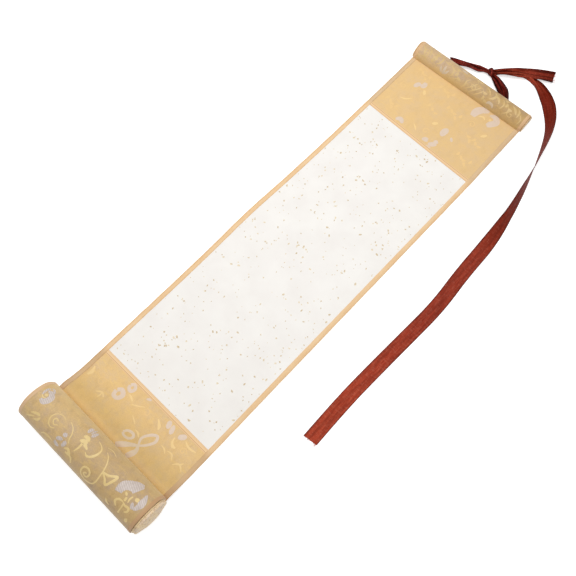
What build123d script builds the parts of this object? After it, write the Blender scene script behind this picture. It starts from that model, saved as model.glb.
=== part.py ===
from build123d import *
import math
import os

# A small hanging scroll, partly unrolled. A laminated sheet, brocade behind and paper and
# brocade panels in front, is rolled face inwards round a covered wooden roller at its foot
# and wrapped round a half-round wooden stave at its head. A folded tape edges both sides,
# and a dark red ribbon loops from the stave to a knot and ends in a short and a long tail.
# Millimetres. While it is drawn, X runs across the sheet from its centreline, Y runs along
# it from the foot of the paper towards the stave, and Z is up from the surface it lies on.

# Sheet and its layers
SHEET_WIDTH = 129.0
BORDER_WIDTH = 4.6
BACK_BORDER_WIDTH = 3.0
PAPER_LENGTH = 336.0
STRIP_WIDTH = 3.8
BACKING_THICKNESS = 0.4
FACING_THICKNESS = 0.25
TAPE_THICKNESS = 0.12

# Roller and the turns of the sheet round it
ROLLER_RADIUS = 15.5
ROLLER_COVER_THICKNESS = 0.5
ROLLER_PROUD_LEFT = 1.6
ROLLER_PROUD_RIGHT = 2.4
DOME_HEIGHT = 2.6
DOME_RUNS = 2
COVER_SOFT = 1.0
TURN_GAP = 0.73
INNER_TURN_DEGREES = 150.0
SEAM_DEGREES = 45.0
FLAT_SPOT = 2.0
ROLL_DISTANCE = 64.6

# Where the sheet leaves the roll in a low hump and settles on the surface
LEAVE_DEGREES = 35.0
SETTLE_DEGREES = 23.0
HUMP_RADIUS = 12.0

# Stave and the wrap round it
STAVE_RADIUS = 9.2
STAVE_ARRIS = 0.5
STAVE_PROUD = 1.0
STAVE_COVER_THICKNESS = 0.4
STAVE_COVER_SOFT = 0.2
TOP_PANEL_LENGTH = 75.3
STAVE_SHIFT = -1.3
STAVE_SKEW_DEGREES = 2.3
LAP_GAP = 0.05

# Fits
SEAT_GAP = 0.03
COVER_GAP = 0.3

# Ribbon
RIBBON_WIDTH = 13.3
RIBBON_THICKNESS = 0.4
STRAND_WIDTH = 6.6
STRAND_THICKNESS = 0.8
LONG_TAIL_HEIGHT = 0.25
LOOP_HEIGHT = 1.0
KNOT_LENGTH = 9.0
KNOT_WIDTH = 8.0
KNOT_HEIGHT = 4.4
KNOT_CORNER = 2.4
KNOT_SOFT = 0.9
KNOT_CENTRE = (2.7, 448.6)
KNOT_DEGREES = 12.0
ARC_SHARE = 0.45

LOOP_ROUTE = [
    (-36.0, 427.5),
    (-31.5, 432.8),
    (-22.7, 437.9),
    (-11.5, 442.6),
    (-1.5, 447.3),
    (8.5, 447.0),
    (18.0, 443.2),
    (26.0, 439.0),
    (31.0, 430.5),
]
SHORT_TAIL_ROUTE = [
    (4.6, 449.6, 2.1),
    (13.6, 459.4, 1.2),
    (25.0, 470.8, 0.85),
    (38.0, 480.3, 0.8),
    (51.4, 489.3, 0.7),
]
LONG_TAIL_ROUTE = [
    (5.6, 450.2),
    (16.0, 462.0),
    (31.0, 470.6),
    (50.0, 468.6),
    (69.0, 456.4),
    (82.0, 440.0),
    (90.5, 419.0),
    (97.5, 394.0),
    (103.5, 367.0),
    (109.5, 337.0),
    (113.4, 302.0),
    (115.0, 262.0),
    (117.6, 224.0),
    (116.3, 184.0),
    (114.8, 144.0),
    (113.6, 103.0),
    (114.6, 62.3),
]

# What follows from those sizes
FACE = BACKING_THICKNESS + FACING_THICKNESS
SHEET_THICKNESS = FACE + TAPE_THICKNESS
EDGE = SHEET_WIDTH / 2
LAMINATE_EDGE = EDGE - TAPE_THICKNESS
BORDER_EDGE = EDGE - BORDER_WIDTH
BACK_BORDER_EDGE = EDGE - BACK_BORDER_WIDTH
STRIP_LAP = STRIP_WIDTH / 2
TURN_STEP = SHEET_THICKNESS + TURN_GAP
ROLL_RADIUS = ROLLER_RADIUS + SEAT_GAP + SHEET_THICKNESS + TURN_STEP
STRAIGHT_END = PAPER_LENGTH + STRIP_WIDTH
STAVE_Y = PAPER_LENGTH + TOP_PANEL_LENGTH
WRAP_THICKNESS = SHEET_THICKNESS + SEAT_GAP
WRAP_RADIUS = STAVE_RADIUS + WRAP_THICKNESS
STAVE_BASE = WRAP_THICKNESS
STAVE_HALF_LENGTH = EDGE + STAVE_PROUD
ROLLER_COVER_RADIUS = ROLLER_RADIUS + ROLLER_COVER_THICKNESS


# Outline in the plane that a piece is extruded from, as a chain of lines and arcs

def polar(centre, radius, degrees):
    """Point at an angle from the first axis of the plane."""
    angle = math.radians(degrees)
    return (centre[0] + radius * math.cos(angle), centre[1] + radius * math.sin(angle))


def line(start, end):
    """Straight step of a chain, from start to end."""
    return ("line", start, end)


def arc(centre, radius, start, end):
    """Arc of a chain. Its angles rise where it turns left and fall where it turns right."""
    return ("arc", centre, radius, start, end)


def step_ends(step, offset):
    """Both ends of one step, moved to its left by the offset."""
    if step[0] == "line":
        (x0, y0), (x1, y1) = step[1], step[2]
        length = math.hypot(x1 - x0, y1 - y0)
        shift_x = -(y1 - y0) / length * offset
        shift_y = (x1 - x0) / length * offset
        return (x0 + shift_x, y0 + shift_y), (x1 + shift_x, y1 + shift_y)
    centre, radius, start, end = step[1:]
    moved = radius - offset if end > start else radius + offset
    return polar(centre, moved, start), polar(centre, moved, end)


def step_edge(step, offset):
    """One step as an edge, moved to its left by the offset."""
    first, last = step_ends(step, offset)
    if step[0] == "line":
        return Line(first, last)
    centre, radius, start, end = step[1:]
    moved = radius - offset if end > start else radius + offset
    return ThreePointArc(first, polar(centre, moved, (start + end) / 2), last)


def band_face(chain, low, high):
    """Face between two offsets of a chain."""
    edges = [step_edge(step, low) for step in chain]
    edges += [step_edge(step, high) for step in chain]
    for step, side in ((chain[0], 0), (chain[-1], 1)):
        edges.append(Line(step_ends(step, low)[side], step_ends(step, high)[side]))
    return make_face(Wire.combine(edges)[0].edges())


# The plane that the roll is drawn in has Y and Z as its axes, and X is its normal
ROLL_PLANE = Plane(origin=(0, 0, 0), x_dir=(0, 1, 0), z_dir=(1, 0, 0))
STAVE_PLACE = Location((STAVE_SHIFT, STAVE_Y, 0), (0, 0, STAVE_SKEW_DEGREES))


def across(face, left, right):
    """Extrude a face drawn in the roll's plane between two places along X."""
    solid = extrude(ROLL_PLANE * face, amount=right - left)
    return Pos(left, 0, 0) * solid


def roll_chain():
    """Back of the sheet from its inner end on the roller to where it lies flat."""
    centre = (-ROLL_DISTANCE, ROLL_RADIUS)
    half_step = TURN_STEP / 2
    middle_centre = polar(centre, half_step, SEAM_DEGREES)
    inner_end = SEAM_DEGREES - 180
    spot_end = (centre[0] + FLAT_SPOT, 0)
    spot_centre = (spot_end[0], ROLL_RADIUS)
    leave = polar(spot_centre, ROLL_RADIUS, LEAVE_DEGREES - 90)
    hump_centre = polar(leave, HUMP_RADIUS, LEAVE_DEGREES - 90)
    hump_end = polar(hump_centre, HUMP_RADIUS, 90 - SETTLE_DEGREES)
    settle_radius = hump_end[1] / (1 - math.cos(math.radians(SETTLE_DEGREES)))
    settle_centre = (
        hump_end[0] + settle_radius * math.sin(math.radians(SETTLE_DEGREES)),
        settle_radius,
    )
    return [
        arc(centre, ROLL_RADIUS - TURN_STEP, inner_end - INNER_TURN_DEGREES, inner_end),
        arc(middle_centre, ROLL_RADIUS - half_step, inner_end, SEAM_DEGREES),
        arc(centre, ROLL_RADIUS, SEAM_DEGREES, 270),
        line((centre[0], 0), spot_end),
        arc(spot_centre, ROLL_RADIUS, 270, 270 + LEAVE_DEGREES),
        arc(hump_centre, HUMP_RADIUS, 90 + LEAVE_DEGREES, 90 - SETTLE_DEGREES),
        arc(settle_centre, settle_radius, 270 - SETTLE_DEGREES, 270),
    ]


def wrap_chain():
    """Back of the sheet round the stave, from its near line and back down to it."""
    corner = STAVE_ARRIS + WRAP_THICKNESS
    far_corner = (2 * WRAP_RADIUS - corner, corner)
    middle = (WRAP_RADIUS, corner)
    return [
        line((0, 0), (far_corner[0], 0)),
        arc(far_corner, corner, 270, 360),
        arc(middle, WRAP_RADIUS, 0, 180),
        line((0, corner), (0, SHEET_THICKNESS + LAP_GAP)),
    ]


ROLL_CHAIN = roll_chain()
WRAP_CHAIN = wrap_chain()
FLAT_START = step_ends(ROLL_CHAIN[-1], 0)[1][0]


def stave_point(x):
    """Point of the stave's near line, at a distance along the stave from its middle."""
    angle = math.radians(STAVE_SKEW_DEGREES)
    return (STAVE_SHIFT + x * math.cos(angle), STAVE_Y + x * math.sin(angle))


def rolled(left, right, low, high):
    """Stretch of a layer in the roll and its hump."""
    return across(band_face(ROLL_CHAIN, low, high), left, right)


def wrapped(left, right, low, high):
    """Stretch of a layer round the stave."""
    return STAVE_PLACE * across(band_face(WRAP_CHAIN, low, high), left, right)


def flat(left, right, low, high, start, end=None):
    """Flat stretch of a layer. With no end it runs on to the stave's near line."""
    if end is not None:
        corners = [(left, start), (right, start), (right, end), (left, end)]
    else:
        corners = [
            (left, start),
            (right, start),
            (right, STRAIGHT_END),
            stave_point(right),
            stave_point(left),
            (left, STRAIGHT_END),
        ]
        corners = [point for i, point in enumerate(corners) if point != corners[i - 1]]
    face = make_face(Polyline(*corners, close=True))
    return extrude(Pos(0, 0, low) * face, amount=high - low)


def fuse(pieces):
    """One solid from pieces that meet face to face."""
    whole = pieces[0]
    for piece in pieces[1:]:
        whole = whole + piece
    return whole


def full_length(left, right, low, high):
    """Layer that runs from the inner end of the roll to the end of the wrap."""
    return [
        rolled(left, right, low, high),
        flat(left, right, low, high, FLAT_START),
        wrapped(left, right, low, high),
    ]


# Sheet

def backing_brocade():
    """Backing, thinner under the tapes' back legs so that they lie flush."""
    pieces = full_length(-BACK_BORDER_EDGE, BACK_BORDER_EDGE, 0, BACKING_THICKNESS)
    pieces += full_length(-LAMINATE_EDGE, -BACK_BORDER_EDGE, TAPE_THICKNESS, BACKING_THICKNESS)
    pieces += full_length(BACK_BORDER_EDGE, LAMINATE_EDGE, TAPE_THICKNESS, BACKING_THICKNESS)
    return fuse(pieces)


def bottom_brocade_panel():
    """Facing from the roller to the foot of the paper, under the strip there."""
    layer = (-LAMINATE_EDGE, LAMINATE_EDGE, BACKING_THICKNESS, FACE)
    return fuse([rolled(*layer), flat(*layer, FLAT_START, -STRIP_LAP)])


def paper_panel():
    """Paper, its edges under the tapes and the strips."""
    layer = (-LAMINATE_EDGE, LAMINATE_EDGE, BACKING_THICKNESS, FACE)
    return flat(*layer, -STRIP_LAP, PAPER_LENGTH + STRIP_LAP)


def top_brocade_panel():
    """Facing from the head of the paper on round the stave, inside the wrap."""
    layer = (-LAMINATE_EDGE, LAMINATE_EDGE, BACKING_THICKNESS, FACE)
    return fuse([flat(*layer, PAPER_LENGTH + STRIP_LAP), wrapped(*layer)])


def paper_strip(start):
    """Narrow strip over the joint of paper and brocade, between the tapes."""
    return flat(-BORDER_EDGE, BORDER_EDGE, FACE, SHEET_THICKNESS, start, start + STRIP_WIDTH)


def edging(side):
    """Tape folded round one edge of the sheet, all along it."""
    legs = [
        (BACK_BORDER_EDGE, 0, TAPE_THICKNESS),
        (LAMINATE_EDGE, TAPE_THICKNESS, FACE),
        (BORDER_EDGE, FACE, SHEET_THICKNESS),
    ]
    pieces = []
    for inner, low, high in legs:
        left, right = sorted((side * inner, side * EDGE))
        pieces += full_length(left, right, low, high)
    return fuse(pieces)


# Roller

def dome_runs(apex, rim, radius):
    """Shallow dome's section from its rim to its apex on the axis, in a few straight runs."""
    rise = abs(apex - rim)
    sphere = (radius * radius + rise * rise) / (2 * rise)
    whole = math.asin(radius / sphere)
    points = []
    for step in range(DOME_RUNS, -1, -1):
        angle = whole * step / DOME_RUNS
        drop = math.copysign(sphere * (1 - math.cos(angle)), apex - rim)
        points.append((apex - drop, sphere * math.sin(angle)))
    return points


def on_roller_axis(profile):
    """Turn a profile about the X axis and set it on the roller's axis."""
    return Pos(0, -ROLL_DISTANCE, ROLL_RADIUS) * revolve(profile, Axis.X)


def bottom_roller():
    """Wooden roller, its square ends inside the covers."""
    left = -EDGE - ROLLER_PROUD_LEFT + ROLLER_COVER_THICKNESS
    right = EDGE + ROLLER_PROUD_RIGHT - ROLLER_COVER_THICKNESS
    corners = [(left, 0), (right, 0), (right, ROLLER_RADIUS), (left, ROLLER_RADIUS)]
    return on_roller_axis(make_face(Polyline(*corners, close=True)))


def roller_end_cover(side):
    """Padded brocade over one end of the roller, turned down onto its side."""
    proud = ROLLER_PROUD_RIGHT if side > 0 else ROLLER_PROUD_LEFT
    hem = side * (EDGE + COVER_GAP)
    seat = side * (EDGE + proud - ROLLER_COVER_THICKNESS)
    rim = side * (EDGE + proud)
    soft = min(COVER_SOFT, proud - COVER_GAP) / 2
    corners = [
        (seat, 0),
        (seat, ROLLER_RADIUS),
        (hem, ROLLER_RADIUS),
        (hem, ROLLER_COVER_RADIUS),
        (rim - side * soft, ROLLER_COVER_RADIUS),
    ]
    corners += dome_runs(rim + side * DOME_HEIGHT, rim, ROLLER_COVER_RADIUS - soft)
    return on_roller_axis(make_face(Polyline(*corners, close=True)))


# Stave

def stave_face():
    """Half-round section with its two lower arrises rounded off."""
    near = WRAP_THICKNESS
    far = WRAP_THICKNESS + 2 * STAVE_RADIUS
    base = STAVE_BASE
    shoulder = base + STAVE_ARRIS
    near_corner = (near + STAVE_ARRIS, shoulder)
    far_corner = (far - STAVE_ARRIS, shoulder)
    section = [
        line((near_corner[0], base), (far_corner[0], base)),
        arc(far_corner, STAVE_ARRIS, 270, 360),
        arc((WRAP_RADIUS, shoulder), STAVE_RADIUS, 0, 180),
        arc(near_corner, STAVE_ARRIS, 180, 270),
    ]
    return make_face([step_edge(step, 0) for step in section])


def top_stave():
    """Half-round wooden stave, flat side down on the sheet."""
    return STAVE_PLACE * across(stave_face(), -STAVE_HALF_LENGTH, STAVE_HALF_LENGTH)


def stave_end_cover(side):
    """Pale cloth glued over one end of the stave, its outer edge softened."""
    outer = side * (STAVE_HALF_LENGTH + STAVE_COVER_THICKNESS)
    left, right = sorted((side * STAVE_HALF_LENGTH, outer))
    plate = across(stave_face(), left, right)
    rim = plate.faces().sort_by(Axis.X)[-1 if side > 0 else 0].edges()
    return STAVE_PLACE * chamfer(rim, min(STAVE_COVER_SOFT, STAVE_COVER_THICKNESS / 2))


# Ribbon

def bend_radii(points):
    """Radius of each bend: as large as its two runs allow."""
    radii = []
    for before, here, after in zip(points, points[1:], points[2:]):
        first = Vector(here) - Vector(before)
        second = Vector(after) - Vector(here)
        turn = math.radians(first.get_angle(second))
        radii.append(ARC_SHARE * min(first.length, second.length) / math.tan(turn / 2))
    return radii


def strip(name, points, width, thickness):
    """Flat strip along a route of straight runs and tangent arcs."""
    radii = bend_radii(points)
    print(name, "bend radii", [round(radius, 1) for radius in radii])
    route = FilletPolyline(*points, radius=radii)
    start = Plane(origin=route @ 0, x_dir=Vector(0, 0, 1).cross(route % 0), z_dir=route % 0)
    solid = sweep(start * Rectangle(width, thickness), path=route)
    print(name, "volume", round(solid.volume, 2), "expected", round(route.length * width * thickness, 2))
    return solid


def raised(points, height):
    """Route at one height."""
    return [(x, y, height) for x, y in points]


def behind_stave():
    """Everything on the stave's side of the wrap's far face, to trim the loop's ends by."""
    reach = 4 * STAVE_RADIUS
    block = Box(2 * EDGE, reach, reach)
    return STAVE_PLACE * (Pos(0, 2 * WRAP_RADIUS - reach / 2, 0) * block)


def ribbon():
    """The ribbon's loop, its two tails and the knot that is tied round all three."""
    loop_route = raised(LOOP_ROUTE, LOOP_HEIGHT)
    long_route = raised(LONG_TAIL_ROUTE, LONG_TAIL_HEIGHT)
    loop = strip("ribbon_loop", loop_route, STRAND_WIDTH, STRAND_THICKNESS) - behind_stave()
    short_tail = strip("ribbon_short_tail", SHORT_TAIL_ROUTE, RIBBON_WIDTH, RIBBON_THICKNESS)
    long_tail = strip("ribbon_long_tail", long_route, RIBBON_WIDTH, RIBBON_THICKNESS)
    block = Box(KNOT_LENGTH, KNOT_WIDTH, KNOT_HEIGHT)
    block = chamfer(block.edges().filter_by(Axis.Z), KNOT_CORNER)
    block = chamfer(block.faces().sort_by(Axis.Z)[-1].edges(), KNOT_SOFT)
    knot = Pos(*KNOT_CENTRE, KNOT_HEIGHT / 2) * (Rot(0, 0, KNOT_DEGREES) * block)
    knot = knot - loop - short_tail - long_tail
    return {
        "ribbon_loop": loop,
        "ribbon_short_tail": short_tail,
        "ribbon_long_tail": long_tail,
        "ribbon_knot": knot,
    }


def scroll():
    """Every rigid or laminated piece of the scroll, by name."""
    return {
        "backing_brocade": backing_brocade(),
        "bottom_brocade_panel": bottom_brocade_panel(),
        "paper_panel": paper_panel(),
        "top_brocade_panel": top_brocade_panel(),
        "paper_bottom_strip": paper_strip(-STRIP_WIDTH),
        "paper_top_strip": paper_strip(PAPER_LENGTH),
        "edging_left": edging(-1),
        "edging_right": edging(1),
        "bottom_roller": bottom_roller(),
        "roller_end_cover_left": roller_end_cover(-1),
        "roller_end_cover_right": roller_end_cover(1),
        "top_stave": top_stave(),
        "stave_end_cover_left": stave_end_cover(-1),
        "stave_end_cover_right": stave_end_cover(1),
    }


# The finished part stands on its origin, which is under the middle of the scroll without
# its ribbon
pieces = scroll()
boxes = [piece.bounding_box() for piece in pieces.values()]
left, right = min(box.min.X for box in boxes), max(box.max.X for box in boxes)
foot, head = min(box.min.Y for box in boxes), max(box.max.Y for box in boxes)
base = min(box.min.Z for box in boxes)
to_origin = Pos(-(left + right) / 2, -(foot + head) / 2, -base)
print("origin moved by", to_origin.position)
pieces.update(ribbon())
os.makedirs("parts", exist_ok=True)
for name, shape in pieces.items():
    export_step(to_origin * shape, f"parts/{name}.step")
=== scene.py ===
import math
import random

import bmesh
import bpy
from mathutils import Euler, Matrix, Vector, noise


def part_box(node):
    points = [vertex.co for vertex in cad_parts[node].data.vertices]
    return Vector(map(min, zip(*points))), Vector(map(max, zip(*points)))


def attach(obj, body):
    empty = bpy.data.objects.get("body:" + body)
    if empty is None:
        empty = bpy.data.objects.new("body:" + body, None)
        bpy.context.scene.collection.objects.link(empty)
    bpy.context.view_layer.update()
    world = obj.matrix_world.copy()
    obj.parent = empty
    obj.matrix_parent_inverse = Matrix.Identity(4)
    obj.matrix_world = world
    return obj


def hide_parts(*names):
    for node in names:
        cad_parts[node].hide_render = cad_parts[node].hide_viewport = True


# A small hanging scroll, partly unrolled. Places are in millimetres on the sheet: X across it
# from its centreline, Y from the foot of the paper towards the stave, and Z up.

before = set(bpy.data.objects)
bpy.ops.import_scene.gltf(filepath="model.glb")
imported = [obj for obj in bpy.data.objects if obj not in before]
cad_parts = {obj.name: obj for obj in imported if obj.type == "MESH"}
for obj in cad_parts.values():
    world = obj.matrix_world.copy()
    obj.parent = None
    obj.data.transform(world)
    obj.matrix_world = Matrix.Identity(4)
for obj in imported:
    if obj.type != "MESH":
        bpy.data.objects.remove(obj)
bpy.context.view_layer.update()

MM = 0.001

# Sizes of the sheet, roller and stave, as the model has them
SHEET_WIDTH = 129.0
BORDER_WIDTH = 4.6
BACK_BORDER_WIDTH = 3.0
PAPER_LENGTH = 336.0
STRIP_WIDTH = 3.8
# The backing's low face lies a little inside the tapes that edge it
BACK_FACE = 0.1
BACKING = 0.4
FACE = 0.65
SHEET_THICKNESS = 0.77
TAPE = 0.12
ROLL_RADIUS = 17.8
TURN_STEP = 1.5
INNER_TURN_DEGREES = 150.0
SEAM_DEGREES = 45.0
FLAT_SPOT = 2.0
ROLL_DISTANCE = 64.6
LEAVE_DEGREES = 35.0
SETTLE_DEGREES = 23.0
HUMP_RADIUS = 12.0
STAVE_RADIUS = 9.2
STAVE_ARRIS = 0.5
STAVE_Y = 411.3
STAVE_SHIFT = -1.3
STAVE_SKEW = math.radians(2.3)
WRAP_THICKNESS = 0.8
LAP_GAP = 0.05
# How far the outer turn has crept to the left on the roll
DRIFT = 1.2
RIBBON_WIDTH = 13.3
RIBBON_THICKNESS = 0.3

EDGE = SHEET_WIDTH / 2
LAMINATE_EDGE = EDGE - TAPE
BORDER_EDGE = EDGE - BORDER_WIDTH
BACK_BORDER_EDGE = EDGE - BACK_BORDER_WIDTH
STRIP_LAP = STRIP_WIDTH / 2
STRAIGHT_END = PAPER_LENGTH + STRIP_WIDTH
WRAP_RADIUS = STAVE_RADIUS + WRAP_THICKNESS
HEM_LIGHT_RUN = STAVE_Y + (2 + math.pi) * WRAP_RADIUS - 7.0

# The paper's box gives the sheet's place in the model
paper_low, paper_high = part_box("paper_panel")
ORIGIN_X = (paper_low[0] + paper_high[0]) / 2
ORIGIN_Y = paper_low[1] + STRIP_LAP * MM


def place(x, y, z):
    """Point of the model, in metres, from a place on the sheet."""
    return Vector((ORIGIN_X + x * MM, ORIGIN_Y + y * MM, z * MM))


def show(name, data):
    """Object of the data, in the scene."""
    shown = bpy.data.objects.new(name, data)
    bpy.context.collection.objects.link(shown)
    return shown


# Camera
CAMERA_PLACE = (126.3, 7.8, 537.6)
CAMERA_DEGREES = (18.375, -1.1745, 43.4186)
CAMERA_LENS = 40.26

camera_data = bpy.data.cameras.new("camera")
camera_data.lens = CAMERA_LENS
camera_data.sensor_width = 36.0
camera = show("camera", camera_data)
camera.location = place(*CAMERA_PLACE)
camera.rotation_euler = Euler([math.radians(angle) for angle in CAMERA_DEGREES], "XYZ")
bpy.context.scene.camera = camera


# The sheet's route, as a chain of lines and arcs in its section

def polar(centre, radius, degrees):
    """Point at an angle from the section's first axis."""
    angle = math.radians(degrees)
    return (centre[0] + radius * math.cos(angle), centre[1] + radius * math.sin(angle))


def step_length(step):
    """Length of one step along the back of the sheet."""
    if step[0] == "line":
        return math.dist(step[1], step[2])
    return abs(math.radians(step[4] - step[3])) * step[2]


def step_point(step, share, offset):
    """Point of a step, moved to its left by the offset."""
    if step[0] == "line":
        (x0, y0), (x1, y1) = step[1], step[2]
        length = math.dist(step[1], step[2])
        x = x0 + (x1 - x0) * share - (y1 - y0) / length * offset
        y = y0 + (y1 - y0) * share + (x1 - x0) / length * offset
        return x, y
    centre, radius, start, end = step[1:]
    moved = radius - offset if end > start else radius + offset
    return polar(centre, moved, start + (end - start) * share)


def chain_point(chain, distance, offset):
    """Point of a chain at a distance along its back."""
    for step in chain:
        length = step_length(step)
        if distance <= length:
            return step_point(step, max(distance, 0) / length, offset)
        distance -= length
    return step_point(chain[-1], 1, offset)


def roll_chain():
    """Back of the sheet from its inner end on the roller to where it lies flat."""
    centre = (-ROLL_DISTANCE, ROLL_RADIUS)
    half_step = TURN_STEP / 2
    inner_end = SEAM_DEGREES - 180
    spot_centre = (centre[0] + FLAT_SPOT, ROLL_RADIUS)
    leave = polar(spot_centre, ROLL_RADIUS, LEAVE_DEGREES - 90)
    hump_centre = polar(leave, HUMP_RADIUS, LEAVE_DEGREES - 90)
    hump_end = polar(hump_centre, HUMP_RADIUS, 90 - SETTLE_DEGREES)
    settle = math.radians(SETTLE_DEGREES)
    settle_radius = hump_end[1] / (1 - math.cos(settle))
    settle_centre = (hump_end[0] + settle_radius * math.sin(settle), settle_radius)
    middle_centre = polar(centre, half_step, SEAM_DEGREES)
    return [
        ("arc", centre, ROLL_RADIUS - TURN_STEP, inner_end - INNER_TURN_DEGREES, inner_end),
        ("arc", middle_centre, ROLL_RADIUS - half_step, inner_end, SEAM_DEGREES),
        ("arc", centre, ROLL_RADIUS, SEAM_DEGREES, 270),
        ("line", (centre[0], 0), (centre[0] + FLAT_SPOT, 0)),
        ("arc", spot_centre, ROLL_RADIUS, 270, 270 + LEAVE_DEGREES),
        ("arc", hump_centre, HUMP_RADIUS, 90 + LEAVE_DEGREES, 90 - SETTLE_DEGREES),
        ("arc", settle_centre, settle_radius, 270 - SETTLE_DEGREES, 270),
    ]


def wrap_chain():
    """Back of the sheet round the stave, from its near line and back down to it."""
    corner = STAVE_ARRIS + WRAP_THICKNESS
    far_corner = (2 * WRAP_RADIUS - corner, corner)
    return [
        ("line", (0, 0), (far_corner[0], 0)),
        ("arc", far_corner, corner, 270, 360),
        ("arc", (WRAP_RADIUS, corner), WRAP_RADIUS, 0, 180),
        ("line", (0, corner), (0, SHEET_THICKNESS + LAP_GAP)),
    ]


ROLL_CHAIN = roll_chain()
WRAP_CHAIN = wrap_chain()
ROLL_LENGTH = sum(step_length(step) for step in ROLL_CHAIN)
WRAP_LENGTH = sum(step_length(step) for step in WRAP_CHAIN)
FLAT_START = step_point(ROLL_CHAIN[-1], 1, 0)[0]
# A run along the sheet is its Y where it lies flat, and goes on round the roll and the stave
FIRST_RUN = FLAT_START - ROLL_LENGTH
LAST_RUN = STAVE_Y + WRAP_LENGTH
UNDER_ROLL_RUN = FLAT_START - sum(step_length(step) for step in ROLL_CHAIN[3:])
ROLL_SIDE_RUN = UNDER_ROLL_RUN - math.radians(270) * ROLL_RADIUS


def eased(value):
    """Smooth step from 0 to 1."""
    value = min(max(value, 0.0), 1.0)
    return value * value * (3 - 2 * value)


def swell(x, y):
    """How far the loose sheet stands off the surface."""
    left, right = eased(-x / 75 + 0.1), eased(x / 80)
    # Each low wave has its height, its side, its Y and its reach along the sheet
    low_waves = [(3.9, left, 172, 42), (1.3, right, 95, 46), (1.0, right, 378, 22), (0.7, left, 330, 26)]
    rise = sum(height * side * math.exp(-(((y - middle) / reach) ** 2))
               for height, side, middle, reach in low_waves)
    rise += 0.25 * (noise.noise(Vector((x / 34, y / 40, 0.7))) + 0.4)
    ends = eased((y - FLAT_START) / 30) * eased((STAVE_Y - 4 - y) / 24)
    return max(rise, 0.0) * ends


def stave_place(x, along, height):
    """Point in the stave's own frame: along is the distance from its near line."""
    turn, lean = math.cos(STAVE_SKEW), math.sin(STAVE_SKEW)
    return place(STAVE_SHIFT + x * turn - along * lean, STAVE_Y + x * lean + along * turn, height)


def roll_drift(run):
    """How far the sheet has crept to the left at a run."""
    return -DRIFT * eased((run - ROLL_SIDE_RUN) / 14) * eased((UNDER_ROLL_RUN - 6 - run) / 16)


def sheet_point(x, run, height):
    """Point of the model for a place on the sheet and a height above its back."""
    if run < FLAT_START:
        y, z = chain_point(ROLL_CHAIN, run - FIRST_RUN, height)
        return place(x + roll_drift(run), y, z)
    if run <= STRAIGHT_END:
        return place(x, run, height + swell(x, run))
    if run < STAVE_Y:
        share = (run - STRAIGHT_END) / (STAVE_Y - STRAIGHT_END)
        point = place(x, STRAIGHT_END, height).lerp(stave_place(x, 0, height), share)
        point.z += swell(x, run) * MM
        return point
    along, z = chain_point(WRAP_CHAIN, run - STAVE_Y, height)
    return stave_place(x, along, z)


# Materials

SHADER = "Principled BSDF"
SPECULAR = "Specular IOR Level"
SHEEN = "Sheen Weight"


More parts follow.
